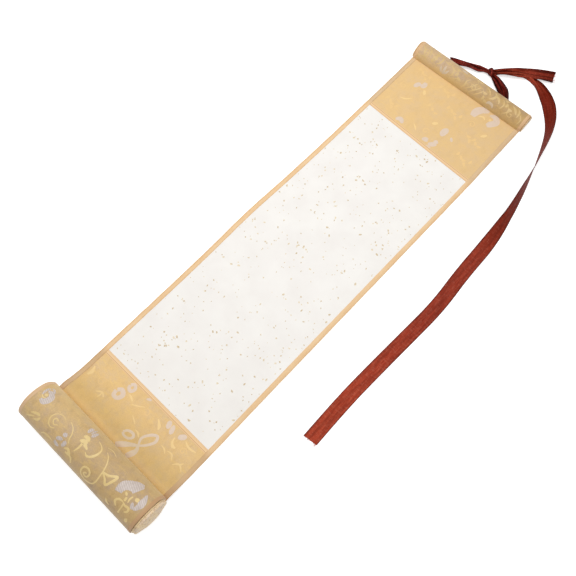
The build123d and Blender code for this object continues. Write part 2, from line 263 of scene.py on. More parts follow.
class Nodes:
    """Node tree of a material or world in the making, with the colour that its layers give."""

    def __init__(self, holder, colour=None):
        holder.use_nodes = True
        self.holder, self.tree, self.colour = holder, holder.node_tree, colour

    def fill(self, node, inputs):
        """Give a node's inputs their values, or link them to sockets."""
        for key, value in inputs.items():
            if isinstance(value, bpy.types.NodeSocket):
                self.tree.links.new(value, node.inputs[key])
            else:
                node.inputs[key].default_value = value

    def add(self, kind, inputs=None, **settings):
        """Outputs of a new node of a kind, with its inputs and settings."""
        node = self.tree.nodes.new("ShaderNode" + kind)
        for name, value in settings.items():
            setattr(node, name, value)
        self.fill(node, inputs or {})
        return node.outputs

    def cloth(self, across=1.0, along=1.0, turn=0.0):
        """Place on the cloth in millimetres, stretched and turned."""
        source = self.add("UVMap", uv_map="cloth")["UV"]
        inputs = {"Vector": source, "Scale": (across, along, 1.0), "Rotation": (0, 0, turn)}
        return self.add("Mapping", inputs)["Vector"]

    def body(self, scale):
        """Place in the object itself, scaled."""
        return self.add("Mapping", {"Vector": self.add("TexCoord")["Object"], "Scale": scale})["Vector"]

    def axes(self, vector):
        """A vector's X, Y and Z."""
        return self.add("SeparateXYZ", {"Vector": vector})

    def maths(self, operation, first, second=0.0):
        """Sum of two values, or what else the operation says."""
        return self.add("Math", {0: first, 1: second}, operation=operation)["Value"]

    def times(self, first, second):
        """Product of two values."""
        return self.maths("MULTIPLY", first, second)

    def off(self, value, middle):
        """How far a value is from a middle one."""
        return self.maths("ABSOLUTE", self.maths("SUBTRACT", value, middle))

    def ranged(self, value, low, high, to_low=0.0, to_high=1.0):
        """Value carried from one range to another, and kept in it."""
        inputs = {"Value": value, "From Min": low, "From Max": high, "To Min": to_low, "To Max": to_high}
        return self.add("MapRange", inputs)["Result"]

    def within(self, value, start, full, leave, end, before=0.0):
        """1 on a stretch of a value, easing in from before, and out to 0."""
        rise = self.ranged(value, start, full, before, 1.0)
        return self.times(rise, self.ranged(value, leave, end, 1.0, 0.0))

    def waves(self, vector, period, direction, distortion):
        """Bands across the vector, one for each period."""
        inputs = {"Vector": vector, "Scale": math.pi / (10 * period), "Distortion": distortion}
        return self.add("TexWave", inputs, bands_direction=direction)["Fac"]

    def clouds(self, vector, size, detail=3.0, roughness=0.5):
        """Noise with patches of about this size."""
        inputs = {"Vector": vector, "Scale": 1 / size, "Detail": detail, "Roughness": roughness}
        return self.add("TexNoise", inputs)["Fac"]

    def mixed(self, first, second, share, *limits, blend="MIX"):
        """Colour between two, by a share, or by a value and the range that makes it one."""
        share = self.ranged(share, *limits) if limits else share
        inputs = {"Fac": share, "Color1": first, "Color2": second}
        return self.add("MixRGB", inputs, blend_type=blend)["Color"]

    def cover(self, colour, share, *limits, blend="MIX"):
        """Lay a colour over the one so far."""
        self.colour = self.mixed(self.colour, colour, share, *limits, blend=blend)

    def tint(self, colour, share, *limits):
        """Multiply a colour into the one so far."""
        self.cover(colour, share, *limits, blend="MULTIPLY")

    def finished(self, relief, strength, depth, roughness, more=None):
        """The material, with its colour, its relief, its roughness and what else its shader takes."""
        bump = self.add("Bump", {"Height": relief, "Strength": strength, "Distance": depth * MM})
        inputs = {"Base Color": self.colour, "Normal": bump["Normal"], "Roughness": roughness}
        self.fill(self.tree.nodes[SHADER], inputs | (more or {}))
        return self.holder

    def seen(self):
        """1 in what the camera sees, also in gloss and through clear things, and 0 in what lights."""
        path = self.add("LightPath")
        seen = self.maths("MAXIMUM", path["Is Camera Ray"], path["Is Glossy Ray"])
        return self.maths("MAXIMUM", seen, path["Is Transmission Ray"])


def painted(name, colour=None):
    """Nodes of a new material that starts from a colour."""
    return Nodes(bpy.data.materials.new(name), colour)


def srgb(red, green, blue):
    """Colour for a shader from its values on screen, 0 to 255."""
    linear = []
    for value in (red, green, blue):
        share = value / 255
        linear.append(share / 12.92 if share <= 0.04045 else ((share + 0.055) / 1.055) ** 2.4)
    return (*linear, 1.0)


# Runs of the sheet between which a colour changes: once, or there and back
ONTO_STAVE = (STAVE_Y - 2.0, STAVE_Y + 8.0)
OFF_ROLL = (-54.0, -26.0)
# Where the painted shade of the crease by the roll falls
ROLL_SHADE_RUNS = (-50.0, -42.0, -38.0, -16.0)
BESIDE_BOTTOM_PANEL = (-56.0, -42.0, -6.0, 1.0)
BESIDE_TOP_PANEL = (PAPER_LENGTH - 1.0, PAPER_LENGTH + 6.0, *ONTO_STAVE)
# The same along a ribbon, from its start, and across the scroll from left to right, in metres
RIBBON_EDGE_SHADE = (38.0, 62.0, 195.0, 262.0)
RIBBON_LATER_TINT = (195.0, 262.0, 330.0, 420.0)
TAPE_RIGHT = (-0.02, 0.02)
TWILL = 0.62


def painted_roll_shade(silk, fold):
    """Painted shade: darken the front cloth towards the roll, where the crease beside the roll shades it.
    """
    silk.tint(fold, silk.within(silk.axes(silk.cloth())["Y"], *ROLL_SHADE_RUNS, before=0.35))


def brocade(name, warm, cool, bright, dark, vines, fold, side, crease_light_and_calm, mottle):
    """Figured silk ground: fine twill, soft patches of two thread colours and a faint vine net."""
    silk = painted(name, warm)
    plain = silk.cloth()
    patches = silk.ranged(silk.clouds(plain, 12.0, 2.0), 0.4, 0.62)
    silk.cover(cool, patches)
    # Leaves of a lighter thread show here and there as soft slanting streaks
    silk.cover(bright, silk.clouds(silk.cloth(0.45, 1.3, 0.6), 4.2, 2.0, 0.6), 0.54, 0.66, 0.0, 0.55)
    silk.cover(dark, silk.clouds(silk.cloth(1.2, 0.6, -0.5), 6.5, 2.0, 0.6), 0.52, 0.68, 0.0, mottle)
    bend = silk.add("TexNoise", {"Vector": plain, "Scale": 0.09, "Detail": 1.0})["Color"]
    bent = silk.add("VectorMath", {0: bend, "Scale": 16.0}, operation="SCALE")["Vector"]
    curled = silk.add("VectorMath", {0: plain, 1: bent}, operation="ADD")["Vector"]
    net = silk.add("TexVoronoi", {"Vector": curled, "Scale": 0.075}, feature="DISTANCE_TO_EDGE")
    vine = silk.ranged(net["Distance"], 0.015, 0.06, 1.0, 0.0)
    silk.cover(bright, silk.times(vine, vines))
    # Twill, with a slub here and there
    ribs = silk.waves(silk.cloth(turn=0.7), TWILL, "Y", 0.6)
    picks = silk.waves(plain, TWILL * 0.7, "X", 0.4)
    silk.cover(bright, silk.clouds(silk.cloth(0.5, 1.0, 0.5), 1.5, 1.0), 0.5, 0.75, 0.0, 0.4)
    silk.cover(dark, silk.clouds(silk.cloth(0.9, 1.3), 0.9, 2.0), 0.35, 0.75, 0.0, 0.36)
    silk.cover(dark, ribs, 0.0, 0.5, 0.2, 0.0)
    # Painted shade towards the roll
    painted_roll_shade(silk, fold)
    axes = silk.axes(plain)
    # Painted light: where the roll and the panel meet, both are lighter, to lift the shade of the crease
    # between them, and the upper panel is calmer
    for lift_or_calm, *stretch in crease_light_and_calm:
        silk.cover(lift_or_calm, axes["Y"], *stretch)
    # It is a little darker to the right
    silk.tint(side, axes["X"], -30.0, 14.0)
    # Round the stave it is greyer on the left and more golden on the right
    wrapped = silk.mixed((1.02, 1.02, 1.14, 1.0), (0.97, 0.91, 0.79, 1.0), axes["X"], -44.0, 44.0)
    silk.tint(wrapped, axes["Y"], *ONTO_STAVE)
    # Painted light: the near side of the wrap, by the hem, is a little paler, to lift the shade that falls
    # there
    silk.cover(bright, axes["Y"], HEM_LIGHT_RUN, HEM_LIGHT_RUN + 5.0, 0.0, 0.4)
    relief = silk.maths("ADD", ribs, silk.times(picks, 0.6))
    relief = silk.maths("ADD", relief, silk.times(vine, 2.0 * vines))
    rough = silk.ranged(patches, 0.0, 1.0, 0.46, 0.6)
    return silk.finished(relief, 0.55, 0.06, rough, {SPECULAR: 0.35, SHEEN: 0.12, "Sheen Roughness": 0.4})


def figure(name, thread, shade, hatch=0.9, turn=0.6, fold=None):
    """Threads of a woven figure, lying side by side at an angle."""
    silk = painted(name, thread)
    rows = silk.waves(silk.cloth(turn=turn), hatch, "X", 0.8)
    silk.cover(shade, rows, 0.1, 0.6, 0.62, 0.0)
    silk.cover(shade, silk.clouds(silk.cloth(1.0, 0.5), 1.8), 0.35, 0.8, 0.0, 0.45)
    # Painted shade towards the roll, as on the ground
    if fold:
        painted_roll_shade(silk, fold)
    return silk.finished(rows, 0.6, 0.08, 0.38, {SHEEN: 0.1})


def tape_material(name, light, mid, line, joint=False):
    """Fine tan tape with ribs across it, its edges dotted with a darker line that is partly painted shade
    of its step.
    """
    tape = painted(name, light)
    plain = tape.cloth()
    axes = tape.axes(plain)
    right = tape.axes(tape.add("TexCoord")["Object"])["X"]
    ribs = tape.waves(plain, 0.55, "Y", 0.5)
    tape.cover(mid, tape.clouds(tape.cloth(1.0, 0.25), 5.0), 0.35, 0.7)
    tape.cover(line, ribs, 0.0, 0.55, 0.3, 0.0)
    dots = tape.ranged(tape.clouds(tape.cloth(1.0, 0.6), 1.1, 1.0), 0.4, 0.55, 0.35, 1.0)
    if joint:
        # Counted from the paper: a dark edge, a broad band, a pale line and a thin dark line
        before, beyond = tape.times(axes["Y"], -1.0), tape.maths("SUBTRACT", axes["Y"], PAPER_LENGTH)
        reach = tape.maths("MAXIMUM", before, beyond)
        tape.cover(light, tape.off(reach, 2.2), 0.2, 0.6, 0.8, 0.0)
        inner = tape.ranged(reach, 0.1, 0.7, 0.75, 0.0)
        outer = tape.ranged(tape.off(reach, 2.9), 0.15, 0.45, 0.7, 0.0)
    else:
        width = BACK_BORDER_WIDTH + BORDER_WIDTH
        inner = tape.ranged(axes["X"], width - 0.9, width - 0.2, 0.0, 0.75)
        outer = tape.ranged(tape.off(axes["X"], BACK_BORDER_WIDTH + 0.9), 0.3, 0.8, 0.7, 0.0)
        # Painted shade: the lines stand partly for the shade at the tape's step, which falls on the left,
        # so they are fainter on the right
        dots = tape.times(dots, tape.ranged(right, *TAPE_RIGHT, 1.0, 0.3))
    tape.cover(line, tape.times(tape.maths("MAXIMUM", outer, inner), dots))
    if not joint:
        # It is deeper beside the panels than beside the paper
        tape.tint((0.79, 0.78, 0.76, 1.0), tape.within(axes["Y"], *BESIDE_BOTTOM_PANEL))
        tape.tint((0.86, 0.873, 0.89, 1.0), tape.within(axes["Y"], *BESIDE_TOP_PANEL))
    # Handling has darkened the tape on the roll, most on the right, and less so on the stave
    handled = tape.mixed((0.82, 0.8, 0.83, 1.0), (0.64, 0.56, 0.5, 1.0), right, *TAPE_RIGHT)
    tape.tint(handled, axes["Y"], *OFF_ROLL, 1.0, 0.0)
    tape.tint((0.86, 0.82, 0.8, 1.0), axes["Y"], *ONTO_STAVE)
    return tape.finished(ribs, 0.5, 0.06, 0.62, {SHEEN: 0.1})


def paper_material():
    """White mulberry paper with long soft fibres."""
    paper = painted("flecked paper", srgb(247, 244, 239))
    paper.cover(srgb(242, 238, 233), paper.clouds(paper.cloth(), 26.0), 0.35, 0.7)
    fibres = paper.clouds(paper.cloth(1.0, 0.14, 0.9), 0.8, 4.0, 0.65)
    more = paper.clouds(paper.cloth(0.16, 1.0, 0.4), 0.9, 4.0, 0.65)
    both = paper.maths("MAXIMUM", fibres, more)
    paper.cover(srgb(226, 217, 206), both, 0.62, 0.78, 0.0, 0.35)
    return paper.finished(both, 0.35, 0.05, 0.82, {SPECULAR: 0.25})


def fleck_material():
    """Gold leaf flakes, each a little darker or paler than the next."""
    leaf = painted("gold flecks", srgb(229, 213, 182))
    leaf.cover(srgb(199, 178, 142), leaf.clouds(leaf.cloth(), 3.0, 0.0), 0.35, 0.65)
    return leaf.finished(leaf.clouds(leaf.cloth(), 0.4), 0.5, 0.03, 0.36)


def ribbon_material(name, light, deep, glint, fold_shade=1.0):
    """Dark red woven ribbon: ribs across it, fine warp along it and a tight dark selvedge."""
    band = painted(name, light)
    plain = band.cloth()
    axes = band.axes(plain)
    ribs = band.waves(plain, 0.6, "Y", 0.5)
    warp = band.clouds(band.cloth(2.2, 0.12), 1.0, 2.0)
    band.cover(deep, warp, 0.35, 0.65)
    band.cover(glint, band.clouds(band.cloth(0.5), 1.7, 2.0, 0.6), 0.5, 0.72, 0.0, 0.5)
    band.cover(srgb(92, 16, 8), ribs, 0.0, 0.55, 0.4, 0.0)
    # Painted shade: dark lengthwise streaks stand for the shade in the ribbon's folds
    band.cover(srgb(36, 5, 4), band.clouds(band.cloth(0.42, 0.03), 1.0, 1.0), 0.42, 0.6, 0.0, 0.7 * fold_shade)
    selvedge = band.ranged(band.off(axes["X"], 0.0), RIBBON_WIDTH / 2 - 1.1, RIBBON_WIDTH / 2 - 0.3)
    band.cover(srgb(74, 16, 10), band.times(selvedge, 0.7))
    # Painted shade: past its first stretch it is darker, most of all where it stands on its edge and turns
    # from the light, and over a later stretch it is a little darker again
    band.tint((0.46, 0.31, 0.26, 1.0), band.within(axes["Y"], *RIBBON_EDGE_SHADE))
    band.tint((0.76, 0.74, 0.8, 1.0), band.within(axes["Y"], *RIBBON_LATER_TINT))
    return band.finished(band.maths("ADD", ribs, warp), 0.6, 0.08, 0.5, {SPECULAR: 0.04})


def wood_material():
    """Plain sanded softwood with its grain along the bar."""
    wood = painted("roller wood", srgb(214, 176, 128))
    grain = wood.clouds(wood.body((60.0, 900.0, 900.0)), 1.0, 4.0)
    wood.cover(srgb(176, 132, 84), grain, 0.3, 0.7)
    return wood.finished(grain, 0.3, 0.1, 0.66)


def end_cloth(name, light, mid, line):
    """Cloth drawn over an end, its yarns crossing and here and there a figured patch."""
    cloth = painted(name, light)
    spot = cloth.body((1 / MM, 1 / MM, 1 / MM))
    warp = cloth.waves(spot, 0.8, "Y", 1.2)
    weft = cloth.waves(spot, 0.7, "Z", 1.2)
    cloth.cover(mid, cloth.clouds(spot, 5.0, 2.0), 0.4, 0.62)
    cloth.cover(line, warp, 0.0, 0.5, 0.3, 0.0)
    cloth.cover(line, cloth.clouds(spot, 1.7), 0.5, 0.68, 0.0, 0.65)
    return cloth.finished(cloth.maths("ADD", warp, weft), 0.6, 0.08, 0.58, {SHEEN: 0.1})


# Painted shade: the front cloth and its figures darken towards the roll, where the crease shades them
ROLL_SHADE_TINT = (0.8, 0.778, 0.646, 1.0)
BACK_BROCADE = brocade(
    "backing brocade", srgb(217, 184, 128), srgb(205, 177, 142), srgb(230, 198, 133), srgb(168, 134, 88),
    vines=0.22, fold=(1.0, 1.0, 1.0, 1.0), side=(0.88, 0.87, 0.86, 1.0),
    # Painted light on the roll's side by the panel
    crease_light_and_calm=[(srgb(232, 204, 146), ROLL_SIDE_RUN + 2, ROLL_SIDE_RUN + 13, 0.75, 0.0)], mottle=0.3,
)
FRONT_BROCADE = brocade(
    "panel brocade", srgb(239, 202, 139), srgb(233, 201, 152), srgb(245, 209, 135), srgb(208, 168, 112),
    vines=0.14, fold=ROLL_SHADE_TINT, side=(0.97, 0.975, 1.0, 1.0),
    # Painted light by the roll, then a calmer colour over the upper panel
    crease_light_and_calm=[(srgb(236, 206, 144), -56.0, -43.0, 0.55, 0.0), (srgb(232, 195, 140), 300.0, 330.0, 0.0, 0.42)],
    mottle=0.24,
)
FINE = (0.7, -0.5)
BACK_SILVER = figure("silver figure", srgb(216, 203, 196), srgb(168, 150, 134), 1.25)
BACK_GOLD = figure("gold figure", srgb(232, 206, 144), srgb(212, 180, 112), *FINE)
WRAP_SILVER_CLOTH = figure("soft silver figure", srgb(214, 193, 166), srgb(198, 174, 140))
WRAP_GOLD_CLOTH = figure("soft gold figure", srgb(217, 186, 126), srgb(202, 171, 114), *FINE)
FRONT_SILVER = figure("pale silver figure", srgb(229, 208, 190), srgb(220, 194, 166), fold=ROLL_SHADE_TINT)
FRONT_GOLD = figure("pale gold figure", srgb(245, 212, 148), srgb(236, 201, 138), *FINE, ROLL_SHADE_TINT)
FRONT_LEAF = figure("soft leaf figure", srgb(238, 201, 136), srgb(233, 196, 136), *FINE, ROLL_SHADE_TINT)
TAPE_CLOTH = tape_material("edging tape", srgb(242, 208, 162), srgb(236, 196, 146), srgb(206, 160, 108))
STRIP_CLOTH = tape_material(
    "joint strip", srgb(246, 214, 166), srgb(236, 194, 144), srgb(196, 146, 92), joint=True
)
PAPER = paper_material()
FLECKS = fleck_material()
RIBBON = ribbon_material("red ribbon", srgb(194, 83, 57), srgb(163, 57, 36), srgb(210, 118, 94), 0.35)
# Painted shade: the short tail's copy is darker in its folds
RIBBON_FOLD_SHADED = ribbon_material("fold-shaded ribbon", srgb(181, 76, 54), srgb(130, 35, 22), srgb(212, 112, 88))
# Painted shade: a darker copy of the ribbon for the loop and the knot, which are drawn tight and lie in
# shade
RIBBON_SHADED = ribbon_material(
    "shaded ribbon", srgb(166, 60, 48), srgb(84, 18, 13), srgb(206, 108, 96), fold_shade=1.35
)
WOOD = wood_material()
END_BROCADE = end_cloth("roller end cloth", srgb(246, 219, 173), srgb(228, 206, 180), srgb(194, 156, 106))
RAW_EDGE = end_cloth("raw edge", srgb(246, 222, 174), srgb(232, 204, 154), srgb(184, 146, 98))
PALE_CLOTH = end_cloth("stave end cloth", srgb(236, 212, 170), srgb(226, 198, 152), srgb(200, 164, 112))


# Meshes

class Solid:
    """Closed mesh in the making: its points, their places on the cloth and its faces."""

    def __init__(self):
        self.points, self.places, self.faces = [], [], []

    def put(self, point, spot):
        """Add a point and its place on the cloth."""
        self.points.append(point)
        self.places.append(spot)

    def band(self, rows, order, capped=True, joined=False):
        """Join the last rows of points, each taken in an order, and cap or join its two ends."""
        order = list(order)
        ring = len(order)
        base = len(self.points) - rows * ring
        for row in range(rows if joined else rows - 1):
            here, there = base + row * ring, base + (row + 1) % rows * ring
            for a, b in zip(order, order[1:] + order[:1]):
                self.faces.append((here + a, here + b, there + b, there + a))
        if capped:
            self.faces.append(tuple(base + i for i in order))
            self.faces.append(tuple(base + (rows - 1) * ring + i for i in reversed(order)))

    def made(self, name, material, angle=50.0):
        """Object of the mesh, smooth but for its sharp edges."""
        mesh = bpy.data.meshes.new(name)
        mesh.from_pydata(self.points, [], self.faces)
        layer = mesh.uv_layers.new(name="cloth")
        for loop in mesh.loops:
            layer.data[loop.index].uv = self.places[loop.vertex_index]
        tidy = bmesh.new()
        tidy.from_mesh(mesh)
        bmesh.ops.recalc_face_normals(tidy, faces=tidy.faces)
        tidy.to_mesh(mesh)
        tidy.free()
        mesh.shade_smooth()
        mesh.set_sharp_from_angle(angle=math.radians(angle))
        mesh.materials.append(material)
        return show(name, mesh)


def around(columns):
    """Order round a row whose upper points come before its lower ones."""
    return [*range(columns), *range(2 * columns - 1, columns - 1, -1)]


def declared(piece, slot, *nodes):
    """Piece that rides on the scroll and stands for its nodes; the slot is not used."""
    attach(piece, "root")
    if nodes:
        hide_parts(*nodes)
    return piece


def stations(start, end, step):
    """Even places from start to end, about a step apart."""
    count = max(1, round((end - start) / step))
    return [start + (end - start) * i / count for i in range(count + 1)]


def runs_between(start, end):
    """Runs along the sheet, close together where it bends and wider where it lies flat."""
    marks = [FIRST_RUN, UNDER_ROLL_RUN, FLAT_START, STRAIGHT_END, STAVE_Y, LAST_RUN]
    pitches = [1.1, 1.0, 3.0, 3.0, 0.7]
    runs = []
    for low, high, pitch in zip(marks, marks[1:], pitches):
        low, high = max(low, start), min(high, end)
        if high > low:
            runs += stations(low, high, pitch)[0 if not runs else 1:]
    return runs


def swept(name, profile, runs, material, cloth=None, waver=0.0):
    """Closed solid of one section, given as places across and heights, along the sheet."""
    solid = Solid()
    cloth = cloth or [x for x, _ in profile]
    for run in runs:
        for (x, height), across in zip(profile, cloth):
            shift = waver * noise.noise(Vector((x, run * 0.12, 3.1)))
            solid.put(sheet_point(x + shift, run, height), (across, run))
    solid.band(len(runs), range(len(profile)))
    return solid.made(name, material)


def flat_section(half_width, low, high, pitch):
    """Section of a layer between two heights."""
    across = stations(-half_width, half_width, pitch)
    return [(x, low) for x in across] + [(x, high) for x in reversed(across)]


# Floor
FLOOR_WHITE = 0.86
FLOOR_REACH = 3.0
FLOOR_DROP = 0.0002
CAMERA_LIFT = 0.58


def floor_material():
    """Pale floor that shows white to the camera and in gloss, and keeps the shadow."""
    floor = painted("floor")
    floor.fill(floor.tree.nodes[SHADER], {
        "Base Color": (FLOOR_WHITE, FLOOR_WHITE, FLOOR_WHITE, 1), "Roughness": 0.9, SPECULAR: 0.0,
        "Emission Color": (1, 1, 1, 1), "Emission Strength": floor.times(floor.seen(), CAMERA_LIFT),
    })
    return floor.holder


def make_floor():
    """Plain pale floor under the whole scroll."""
    mesh = bpy.data.meshes.new("floor")
    signs = ((-1, -1), (1, -1), (1, 1), (-1, 1))
    mesh.from_pydata([(x * FLOOR_REACH, y * FLOOR_REACH, 0) for x, y in signs], [], [(0, 1, 2, 3)])
    mesh.materials.append(floor_material())
    floor = show("floor", mesh)
    floor.location.z = -FLOOR_DROP


make_floor()


# Ribbon: its routes repeat the model's, raised where the ribbon stands on its edge

LOOP_ROUTE = [
    (-35.0, 429.6, 2.2), (-31.5, 432.8, 2.3), (-22.7, 437.3, 2.2), (-11.5, 441.9, 2.1), (-1.5, 446.6, 2.3),
    (8.5, 446.2, 2.3), (18.0, 442.2, 2.1), (26.0, 438.2, 2.2), (30.4, 431.9, 2.4),
]
SHORT_TAIL_ROUTE = [
    (4.2, 448.6, 2.6), (13.6, 457.6, 3.0), (25.0, 467.6, 3.2), (38.0, 478.0, 3.0), (51.4, 487.4, 1.6),
]
LONG_TAIL_ROUTE = [
    (4.8, 448.4, 1.8), (14.2, 460.8, 1.2), (29.5, 471.2, 1.5), (47.5, 469.6, 2.6), (69.5, 454.0, 4.9),
    (82.5, 436.0, 6.3), (90.5, 415.0, 6.8), (97.3, 391.0, 6.9), (103.5, 365.0, 6.6), (109.5, 335.0, 5.2),
    (113.4, 302.0, 1.8), (114.4, 262.0, 0.3), (117.9, 224.0, 0.3), (116.3, 184.0, 0.3),
    (114.6, 144.0, 0.3), (113.4, 103.0, 0.3), (114.6, 62.3, 0.3),
]
# Widths, and tilts in degrees, at shares of each route
LOOP_WIDTHS = [
    (0.0, 10.0), (0.12, 8.8), (0.25, 7.4), (0.4, 8.0), (0.47, 4.4), (0.56, 4.4), (0.66, 8.4),
    (0.86, 11.6), (1.0, 10.4),
]
LOOP_TILTS = [(0.0, 12.0), (0.3, -10.0), (0.5, 0.0), (0.75, 14.0), (1.0, -8.0)]
SHORT_TAIL_WIDTHS = [(0.0, 4.6), (0.12, 6.0), (0.4, 9.4), (0.7, 11.4), (1.0, 12.8)]
SHORT_TAIL_TILTS = [(0.0, 0.0), (0.4, 16.0), (0.75, 2.0), (1.0, 4.0)]
LONG_TAIL_WIDTHS = [
    (0.0, 4.2), (0.07, 5.2), (0.1, 7.2), (0.135, 11.2), (0.165, 12.8), (0.2, 13.28), (1.0, 13.28),
]
LONG_TAIL_TILTS = [
    (0.0, 0.0), (0.08, 10.0), (0.12, 30.0), (0.165, 48.0), (0.21, 68.0), (0.257, 81.0), (0.31, 97.0),
    (0.366, 116.0), (0.43, 131.0), (0.5, 168.0), (0.52, 180.0), (1.0, 180.0),
]
PLEAT_COLUMNS = 28
PLEAT_WANDER = 1.4
WANDERS_A_METRE = 40
SLANT_FROM = 0.9
RIBBON_SHARP = 70.0
YARN = 0.09
KNOT_CENTRE = (2.7, 447.3, 2.5)
KNOT_STEPS = 72
KNOT_COLUMNS = 14
KNOT_BREADTH = 4.8
KNOT_DRIFT = 2.6
KNOT_CROWN = 0.7
KNOT_PLEAT = 0.28
KNOT_WALL = 0.35
KNOT_SQUASH = (1.15, 0.8)


def spline_points(route):
    """Points along the smooth line that a route's points control."""
    curve = bpy.data.curves.new("route", "CURVE")
    curve.dimensions = "3D"
    curve.resolution_u = 16
    spline = curve.splines.new("NURBS")
    spline.points.add(len(route) - 1)
    for point, spot in zip(spline.points, route):
        point.co = (*place(*spot), 1.0)
    spline.order_u = 3
    spline.use_endpoint_u = True
    holder = bpy.data.objects.new("route", curve)
    mesh = bpy.data.meshes.new_from_object(holder)
    points = [vertex.co.copy() for vertex in mesh.vertices]
    bpy.data.objects.remove(holder)
    bpy.data.meshes.remove(mesh)
    return points


def shares_along(points):
    """Share of the whole length at each point, and that length."""
    lengths = [0.0]
    for first, second in zip(points, points[1:]):
        lengths.append(lengths[-1] + (second - first).length)
    return [length / lengths[-1] for length in lengths], lengths[-1]


def between(marks, share):
    """Value at a share, from marks of (share, value)."""
    for (start, first), (end, second) in zip(marks, marks[1:]):
        if share <= end:
            return first + (second - first) * (share - start) / (end - start)
    return marks[-1][1]


def neighbours(line, index):
    """The items before and after one of a line, or itself at an end."""
    return line[max(index - 1, 0)], line[min(index + 1, len(line) - 1)]


def pleated_section(width, pleats, phase):
    """The ribbon's full width gathered into a width, as places across and heights."""
    gather = RIBBON_WIDTH / width
    slope = math.sqrt(max(gather * gather - 1, 0) * 2)
    height = slope * width / (math.tau * pleats)
    section = []
    for i in range(PLEAT_COLUMNS + 1):
        share = i / PLEAT_COLUMNS
        section.append(((share - 0.5) * width, height * math.sin(math.tau * pleats * share + phase)))
    return section


def ribbon_strip(name, route, material, widths, tilts, pleats=1.5, phase=0.6, end_cut=0.0):
    """Ribbon mesh along a route: gathered to the widths and turned by the tilts."""
    points = spline_points(route)
    shares, length = shares_along(points)
    half = RIBBON_THICKNESS * MM / 2
    solid = Solid()
    columns = PLEAT_COLUMNS + 1
    for index, (point, share) in enumerate(zip(points, shares)):
        before, after = neighbours(points, index)
        ahead = (after - before).normalized()
        left = Vector((-ahead.y, ahead.x, 0)).normalized()
        up = ahead.cross(left).normalized()
        tilt = math.radians(between(tilts, share))
        wide = math.cos(tilt) * left + math.sin(tilt) * up
        face = math.cos(tilt) * up - math.sin(tilt) * left
        width = between(widths, share)
        # On its edge it stands on the surface, not through it
        point = point.copy()
        point.z = max(point.z, (abs(math.sin(tilt)) * width / 2 + RIBBON_THICKNESS) * MM)
        wander = phase + PLEAT_WANDER * noise.noise(Vector((share * length * WANDERS_A_METRE, phase, 0.2)))
        centres = []
        for i, (across, rise) in enumerate(pleated_section(width, pleats, wander)):
            slip = end_cut * (i / PLEAT_COLUMNS - 0.5) * eased((share - SLANT_FROM) / (1 - SLANT_FROM))
            centre = point + wide * across * MM + face * rise * MM + ahead * slip * MM
            centre.z = max(centre.z, RIBBON_THICKNESS * MM)
            centres.append(centre)
        for side in (1, -1):
            for i, centre in enumerate(centres):
                before, after = neighbours(centres, i)
                normal = ahead.cross(after - before).normalized()
                spot = ((i / PLEAT_COLUMNS - 0.5) * RIBBON_WIDTH, share * length / MM)
                solid.put(centre + normal * half * side, spot)
    solid.band(len(points), around(columns), capped=False)
    for base in (0, len(solid.points) - 2 * columns):
        for i in range(base, base + columns - 1):
            solid.faces.append((i, i + 1, i + columns + 1, i + columns))
    return solid.made(name, material, RIBBON_SHARP), points, length


def yarn_ends(name, points, count, seed):
    """Loose yarns at the cut end of a ribbon."""
    chance = random.Random(seed)
    end = points[-1]
    ahead = (end - points[-2]).normalized()
    wide = Vector((-ahead.y, ahead.x, 0)).normalized()
    solid = Solid()
    for _ in range(count):
        across = chance.uniform(-0.5, 0.5) * RIBBON_WIDTH
        reach = chance.uniform(0.6, 2.4)
        lean = chance.uniform(-0.5, 0.5)
        root = end + wide * across * MM - ahead * 0.4 * MM
        tip = root + (ahead * reach + wide * lean + Vector((0, 0, chance.uniform(-0.1, 0.25)))) * MM
        for spot in (root, tip):
            for x, y in ((-1, -1), (1, -1), (1, 1), (-1, 1)):
                solid.put(spot + (wide * x + Vector((0, 0, y))) * YARN * MM, (across, reach))
        solid.band(2, range(4))
    return declared(solid.made(name, RIBBON), "red_ribbon")


def knot_band(name, heading, size, turns, start, shift):
    """A turn of the gathered ribbon drawn tight round the loop, its axis at a heading in degrees."""
    axis = Vector((*polar((0, 0), 1, heading), 0))
    side = Vector((-axis.y, axis.x, 0))
    centre = place(*KNOT_CENTRE) + (axis * shift[0] + side * shift[1]) * MM
    solid = Solid()
    for step in range(KNOT_STEPS + 1):
        share = step / KNOT_STEPS
        angle = math.tau * turns * share + start
        drift = (share - 0.5) * KNOT_DRIFT
        for inner in (0, 1):
            for i in range(KNOT_COLUMNS + 1):
                across = i / KNOT_COLUMNS - 0.5
                fold = KNOT_PLEAT * math.sin(18.0 * across + 3.0 * share) * (1 - 2 * abs(across))
                crown = KNOT_CROWN * (1 - (2 * across) ** 2)
                radius = size * (1 + 0.2 * share) + fold + crown - KNOT_WALL * inner
                out = radius * math.cos(angle) * KNOT_SQUASH[0]
                up = radius * math.sin(angle) * KNOT_SQUASH[1]
                spot = centre + (axis * (drift + across * KNOT_BREADTH) + side * out) * MM
                spot.z = max(spot.z + up * MM, 0.1 * MM)
                solid.put(spot, (across * RIBBON_WIDTH, share * 30))
    solid.band(KNOT_STEPS + 1, around(KNOT_COLUMNS + 1))
    return solid.made(name, RIBBON_SHADED, RIBBON_SHARP)


